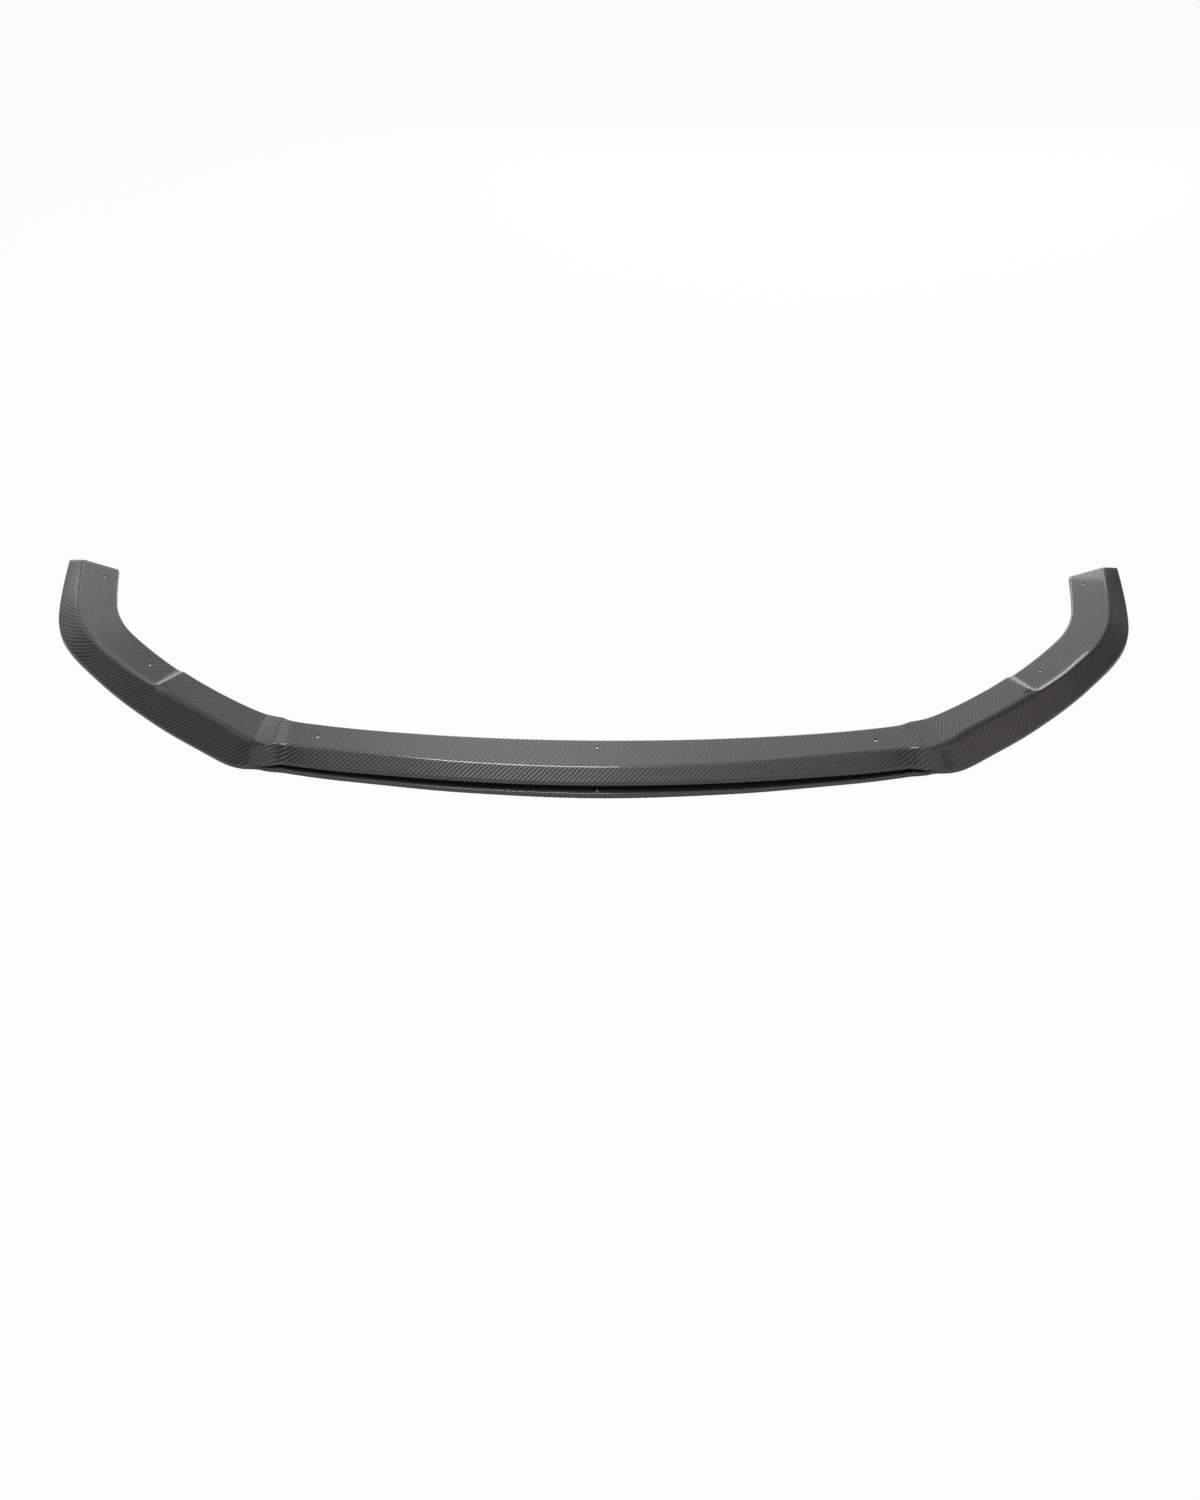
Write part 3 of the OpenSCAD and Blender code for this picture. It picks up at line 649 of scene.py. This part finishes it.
class Nodes:
    """A node tree that is written from Python."""

    def __init__(self, tree):
        self.tree = tree

    def put(self, socket, value):
        """Links the value to the socket, or sets it there."""
        if isinstance(value, Maths):
            value = value.socket
        if isinstance(value, bpy.types.NodeSocket):
            self.tree.links.new(value, socket)
        else:
            socket.default_value = value

    def add(self, kind, inputs=None, **settings):
        """A node of that type with its settings, and the values or links of its named inputs."""
        node = self.tree.nodes.new(kind)
        for name, value in settings.items():
            setattr(node, name, value)
        for name, value in (inputs or {}).items():
            self.put(node.inputs[name], value)
        return node

    def get(self, kind, output, inputs=None, **settings):
        """One output of such a node as a number."""
        return Maths(self, self.add(kind, inputs, **settings).outputs[output])

    def number(self, value):
        """A number that is the same everywhere."""
        node = self.tree.nodes.new("ShaderNodeValue")
        node.outputs[0].default_value = value
        return Maths(self, node.outputs[0])

    def sampled(self, geometry, value):
        """That value of the geometry's point that has the same number."""
        return self.add(
            "GeometryNodeSampleIndex",
            {"Geometry": geometry, "Index": self.add("GeometryNodeInputIndex").outputs[0], "Value": value},
            data_type="FLOAT_VECTOR",
            domain="POINT",
        ).outputs[0]

    def stored(self, geometry, name, value, kind, domain="POINT"):
        """The geometry with the value as a named attribute."""
        return self.add(
            "GeometryNodeStoreNamedAttribute",
            {"Geometry": geometry, "Name": name, "Value": value},
            data_type=kind,
            domain=domain,
        ).outputs[0]

    def merged(self, geometry, gap):
        """The geometry with points that lie closer than the gap made one."""
        return self.add("GeometryNodeMergeByDistance", {"Geometry": geometry, "Distance": gap}).outputs[0]

    def mixed(self, part, first, second):
        """The first shader where the part is 0 and the second where it is 1."""
        node = self.add("ShaderNodeMixShader", {"Fac": part})
        self.put(node.inputs[1], first)
        self.put(node.inputs[2], second)
        return node.outputs[0]

    def background(self, colour, strength):
        """Even light from all round, of that colour and strength."""
        return self.add("ShaderNodeBackground", {"Color": (*colour, 1), "Strength": strength}).outputs[0]

    def shown(self, path):
        """1 on the camera's rays, straight or through glass, which show the background itself."""
        return Maths(self, path["Is Camera Ray"]).math("MAXIMUM", path["Is Transmission Ray"])


def bare_nodes(owner):
    """The nodes of a new material or world, emptied."""
    owner.use_nodes = True
    owner.node_tree.nodes.clear()
    return Nodes(owner.node_tree)


def points_object(name, positions, attributes):
    """A mesh of loose points that carries the given attributes."""
    mesh = bpy.data.meshes.new(name)
    mesh.vertices.add(len(positions))
    mesh.vertices.foreach_set("co", np.ascontiguousarray(positions, dtype=np.float32).ravel())
    for label, kind, values in attributes:
        field = "vector" if kind == "FLOAT_VECTOR" else "value"
        data = mesh.attributes.new(label, kind, "POINT").data
        data.foreach_set(field, np.ascontiguousarray(values, dtype=np.float32).ravel())
    made = bpy.data.objects.new(name, mesh)
    bpy.context.scene.collection.objects.link(made)
    return made


def skin_tree():
    """Nodes that lay a skin over the sections, keep its cloth coordinates and cut its holes."""
    tree = bpy.data.node_groups.new("Skin over sections", "GeometryNodeTree")
    sockets = (
        ("Geometry", "INPUT", "NodeSocketGeometry"),
        ("Sections", "INPUT", "NodeSocketInt"),
        ("Points per section", "INPUT", "NodeSocketInt"),
        ("Drill depth", "INPUT", "NodeSocketFloat"),
        ("Sharp angle", "INPUT", "NodeSocketFloat"),
        ("Material", "INPUT", "NodeSocketMaterial"),
        ("Geometry", "OUTPUT", "NodeSocketGeometry"),
    )
    for name, in_out, kind in sockets:
        tree.interface.new_socket(name, in_out=in_out, socket_type=kind)
    n = Nodes(tree)
    given = n.add("NodeGroupInput").outputs
    hole_r = n.get("GeometryNodeInputNamedAttribute", "Attribute", {"Name": HOLE_R})
    parted = n.add(
        "GeometryNodeSeparateGeometry",
        {"Geometry": given["Geometry"], "Selection": hole_r > 0},
    ).outputs
    # The grid has a row of points for each section, in the order of the points that were given
    grid = n.add(
        "GeometryNodeMeshGrid",
        {"Vertices X": given["Sections"], "Vertices Y": given["Points per section"]},
    ).outputs["Mesh"]
    place = n.sampled(parted["Inverted"], n.add("GeometryNodeInputPosition").outputs[0])
    moved = n.add("GeometryNodeSetPosition", {"Geometry": grid, "Position": place}).outputs[0]
    cloth = n.add("GeometryNodeInputNamedAttribute", {"Name": CLOTH}, data_type="FLOAT_VECTOR").outputs[0]
    kept = n.stored(moved, CLOTH, n.sampled(parted["Inverted"], cloth), "FLOAT_VECTOR")
    mapped = n.stored(kept, CLOTH_UV, cloth, "FLOAT2", "CORNER")
    under = n.add("ShaderNodeSeparateXYZ", {"Vector": cloth}).outputs["Z"]
    joined = n.merged(n.stored(mapped, UNDERSIDE, under, "FLOAT"), SEAM_GAP)
    drill = n.add(
        "GeometryNodeMeshCylinder",
        {"Vertices": DRILL_SIDES, "Radius": 1.0, "Depth": given["Drill depth"]},
    ).outputs["Mesh"]
    wide = n.add("ShaderNodeCombineXYZ", {"X": hole_r, "Y": hole_r, "Z": 1.0}).outputs[0]
    drills = n.add(
        "GeometryNodeInstanceOnPoints",
        {"Points": parted["Selection"], "Instance": drill, "Scale": wide},
    ).outputs[0]
    cut = n.add("GeometryNodeMeshBoolean", operation="DIFFERENCE", solver="EXACT")
    n.put(cut.inputs["Mesh 1"], joined)
    n.put(cut.inputs["Mesh 2"], n.add("GeometryNodeRealizeInstances", {"Geometry": drills}).outputs[0])
    smooth = n.add(
        "GeometryNodeSetShadeSmooth",
        {"Geometry": n.merged(cut.outputs[0], CUT_GAP), "Shade Smooth": True},
        domain="FACE",
    ).outputs[0]
    turn = n.get("GeometryNodeInputMeshEdgeAngle", "Unsigned Angle")
    sharp = n.add(
        "GeometryNodeSetShadeSmooth",
        {"Geometry": smooth, "Selection": turn > given["Sharp angle"], "Shade Smooth": False},
        domain="EDGE",
    ).outputs[0]
    coated = n.add("GeometryNodeSetMaterial", {"Geometry": sharp, "Material": given["Material"]}).outputs[0]
    n.put(n.add("NodeGroupOutput").inputs["Geometry"], coated)
    return tree


def set_input(modifier, name, value):
    """Sets a named input of the modifier's tree."""
    for item in modifier.node_group.interface.items_tree:
        if item.name == name and item.in_out == "INPUT":
            modifier[item.identifier] = value


def carbon_cloth(look):
    """Twill of carbon tows under a clear coat. It follows the cloth's own coordinates."""
    material = bpy.data.materials.new("carbon_twill_clear_coat")
    n = bare_nodes(material)
    laid = n.add("ShaderNodeUVMap", uv_map=CLOTH_UV).outputs[0]
    split = n.add("ShaderNodeSeparateXYZ", {"Vector": laid}).outputs
    along = Maths(n, split["X"]) / look.tow_w
    across = Maths(n, split["Y"]) / look.tow_w
    # The pattern repeats after four tows, and each tow passes over two others
    cell = (along.math("FLOOR") + across.math("FLOOR")) % 4
    warp = cell < 2
    along_part, across_part = along.math("FRACT"), across.math("FRACT")
    # A tow is crowned across its width and arched over its length, each from -1 to 1
    reach_warp = cell + along_part - 1
    reach_weft = cell + across_part - 3
    side_warp, side_weft = across_part * 2 - 1, along_part * 2 - 1
    high_warp = 1 - (side_warp * side_warp * look.crown + reach_warp * reach_warp * look.arch)
    high_weft = 1 - (side_weft * side_weft * look.crown + reach_weft * reach_weft * look.arch)
    height = high_weft + (high_warp - high_weft) * warp
    bump = n.add("ShaderNodeBump", {"Strength": 1.0, "Distance": look.relief, "Height": height})
    tangent = n.add("ShaderNodeTangent", direction_type="UV_MAP", uv_map=CLOTH_UV).outputs[0]
    # The inside came off the mould's open side, so it is matt
    inside = n.get("ShaderNodeAttribute", "Fac", attribute_name=UNDERSIDE)
    coat = 1 - inside * (1 - look.inside_coat)
    rough = inside * (look.inside_rough - look.fibre_rough) + look.fibre_rough
    shaders = []
    # A fibre's facets spread across it, so the rotation is a quarter turn for the tows that run along
    # Painted shade: the tows' colour darkens with their height towards their edges.
    painted_crown_shade = height * (1 - look.tow_edge_shade) + look.tow_edge_shade
    # The warp's lighter colour than the weft's is a painted sheen.
    for colour, turn in ((look.weft_shade_tint, 0.0), (look.warp_sheen_tint, 0.25)):
        shade = n.add("ShaderNodeVectorMath", {"Scale": painted_crown_shade}, operation="SCALE")
        n.put(shade.inputs[0], colour)
        shaders.append(
            n.add(
                "ShaderNodeBsdfPrincipled",
                {
                    "Base Color": shade.outputs[0],
                    "Metallic": look.fibre_metal,
                    "Roughness": rough,
                    "Anisotropic": look.fibre_spread,
                    "Anisotropic Rotation": turn,
                    "Tangent": tangent,
                    "Normal": bump.outputs[0],
                    "Coat Weight": coat,
                    "Coat Roughness": look.coat_rough,
                },
            ).outputs[0]
        )
    woven = n.mixed(warp, *shaders)
    n.put(n.add("ShaderNodeOutputMaterial").inputs["Surface"], woven)
    return material


class LIP_OT_skin(bpy.types.Operator):
    """Builds the lip's skin through its sections"""

    bl_idname = "splitter_lip.skin"
    bl_label = "Splitter Lip"

    def execute(self, context):
        lip = Lip(context.scene.lip_sizes)
        positions, cloth = lip.rows()
        holes = lip.holes()
        sections, per_section = positions.shape[:2]
        count = sections * per_section
        everything = np.vstack([positions.reshape(-1, 3), holes[:, :3]])
        radii = np.concatenate([np.zeros(count), holes[:, 3]])
        laid = np.vstack([cloth.reshape(-1, 3), np.zeros((len(holes), 3))])
        attributes = [(CLOTH, "FLOAT_VECTOR", laid), (HOLE_R, "FLOAT", radii)]
        source = points_object("lip_sections", everything, attributes)
        modifier = source.modifiers.new("Skin", "NODES")
        modifier.node_group = skin_tree()
        set_input(modifier, "Sections", sections)
        set_input(modifier, "Points per section", per_section)
        set_input(modifier, "Drill depth", lip.p.skin_t * DRILL_REACH)
        set_input(modifier, "Sharp angle", math.radians(SHARP_DEGREES))
        set_input(modifier, "Material", carbon_cloth(context.scene.cloth_look))
        evaluated = source.evaluated_get(context.evaluated_depsgraph_get())
        mesh = bpy.data.meshes.new_from_object(evaluated)
        skin = bpy.data.objects.new("splitter_lip_skin", mesh)
        context.scene.collection.objects.link(skin)
        source.modifiers.remove(modifier)
        bpy.data.objects.remove(source)
        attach(skin, "root")
        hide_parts(NODE)
        return {"FINISHED"}


def pale_floor(look):
    """White floor that still takes the lip's shadow."""
    material = bpy.data.materials.new("studio_floor")
    n = bare_nodes(material)
    path = n.add("ShaderNodeLightPath").outputs
    # Reflections show only a share of the white floor, so the lip's faces stay darker than its flange
    mirrored = Maths(n, path["Is Glossy Ray"]) * look.floor_mirrored
    seen = n.shown(path).math("MAXIMUM", mirrored)
    tone = n.add("ShaderNodeCombineXYZ")
    for slot in tone.inputs:
        n.put(slot, seen * look.floor_lift + look.floor_tone)
    matt = n.add("ShaderNodeBsdfDiffuse", {"Color": tone.outputs[0]}).outputs[0]
    white = n.add("ShaderNodeEmission", {"Color": (*WHITE, 1), "Strength": 1.0}).outputs[0]
    floor = n.mixed(seen * look.floor_white, matt, white)
    n.put(n.add("ShaderNodeOutputMaterial").inputs["Surface"], floor)
    return material


def area_light(name, place, aim, size, power):
    """A soft rectangular lamp."""
    lamp = bpy.data.lights.new(name, "AREA")
    lamp.shape = "RECTANGLE"
    lamp.size, lamp.size_y = size
    lamp.energy = power
    made = bpy.data.objects.new(name, lamp)
    made.location = place
    made.rotation_euler = (Vector(aim) - Vector(place)).to_track_quat("-Z", "Y").to_euler()
    bpy.context.scene.collection.objects.link(made)


class LIP_OT_stage(bpy.types.Operator):
    """Builds the camera, the floor, the lights and the white surroundings"""

    bl_idname = "splitter_lip.stage"
    bl_label = "Stage"

    def execute(self, context):
        scene = context.scene
        look = scene.stage_look
        self.place_camera(scene, look)
        bpy.ops.mesh.primitive_plane_add(size=look.floor_side)
        floor = context.object
        floor.name = "studio_floor"
        floor.data.materials.append(pale_floor(look))
        for lamp in LAMPS:
            area_light(*lamp)
        self.surround(scene, look)
        scene.view_settings.view_transform = "Standard"
        return {"FINISHED"}

    def place_camera(self, scene, look):
        """Sets the camera to the photo's view."""
        a, e, r = look.azimuth, look.elevation, look.roll
        back = Vector((math.sin(a) * math.cos(e), -math.cos(a) * math.cos(e), math.sin(e)))
        right = (-back).cross(Vector((0, 0, 1))).normalized()
        up = right.cross(-back)
        columns = (right * math.cos(r) + up * math.sin(r), up * math.cos(r) - right * math.sin(r), back)
        lens = bpy.data.cameras.new("camera")
        lens.sensor_fit = "VERTICAL"
        lens.sensor_height = PICTURE_MM
        lens.lens = look.lens
        camera = bpy.data.objects.new("camera", lens)
        turn = Matrix(columns).transposed().to_4x4()
        place = Vector((look.target_x, look.target_y, 0)) + back * look.distance
        camera.matrix_world = Matrix.Translation(place) @ turn
        scene.collection.objects.link(camera)
        scene.camera = camera

    def surround(self, scene, look):
        """Sets the white background, and the dim studio with pale panels that reflections show."""
        world = bpy.data.worlds.new("white_surroundings")
        n = bare_nodes(world)
        way = n.add("ShaderNodeTexCoord").outputs["Generated"]
        studio = n.background(look.walls_tint, look.walls)
        for toward, outer, inner, colour, strength in PANELS:
            near = n.add("ShaderNodeVectorMath", operation="DOT_PRODUCT")
            n.put(near.inputs[0], way)
            n.put(near.inputs[1], Vector(toward).normalized())
            patch = n.add(
                "ShaderNodeMapRange",
                {
                    "Value": near.outputs["Value"],
                    "From Min": math.cos(math.radians(outer)),
                    "From Max": math.cos(math.radians(inner)),
                    "To Max": strength,
                },
                interpolation_type="SMOOTHSTEP",
            ).outputs["Result"]
            both = n.add("ShaderNodeAddShader")
            n.put(both.inputs[0], studio)
            n.put(both.inputs[1], n.background(colour, patch))
            studio = both.outputs[0]
        path = n.add("ShaderNodeLightPath").outputs
        found = n.mixed(path["Is Glossy Ray"], n.background(WHITE, look.fill), studio)
        found = n.mixed(n.shown(path), found, n.background(WHITE, 1.0))
        n.put(n.add("ShaderNodeOutputWorld").inputs["Surface"], found)
        scene.world = world


class LIP_PT_panel(bpy.types.Panel):
    """Lists the lip's builders and their sizes"""

    bl_label = "Splitter Lip"
    bl_space_type = "VIEW_3D"
    bl_region_type = "UI"
    bl_category = "Splitter Lip"

    def draw(self, context):
        column = self.layout.column()
        for kind in (LIP_OT_skin, LIP_OT_stage):
            column.operator(kind.bl_idname)
        for group in (context.scene.lip_sizes, context.scene.cloth_look, context.scene.stage_look):
            for name in group.__annotations__:
                column.prop(group, name)


CLASSES = (LipSizes, ClothLook, StageLook, LIP_OT_skin, LIP_OT_stage, LIP_PT_panel)
GROUPS = {"lip_sizes": LipSizes, "cloth_look": ClothLook, "stage_look": StageLook}


def register():
    for kind in CLASSES:
        bpy.utils.register_class(kind)
    for name, kind in GROUPS.items():
        setattr(bpy.types.Scene, name, bpy.props.PointerProperty(type=kind))


def unregister():
    for name in GROUPS:
        delattr(bpy.types.Scene, name)
    for kind in reversed(CLASSES):
        bpy.utils.unregister_class(kind)


def main():
    register()
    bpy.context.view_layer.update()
    bpy.ops.splitter_lip.skin()
    bpy.ops.splitter_lip.stage()


if __name__ == "__main__":
    main()
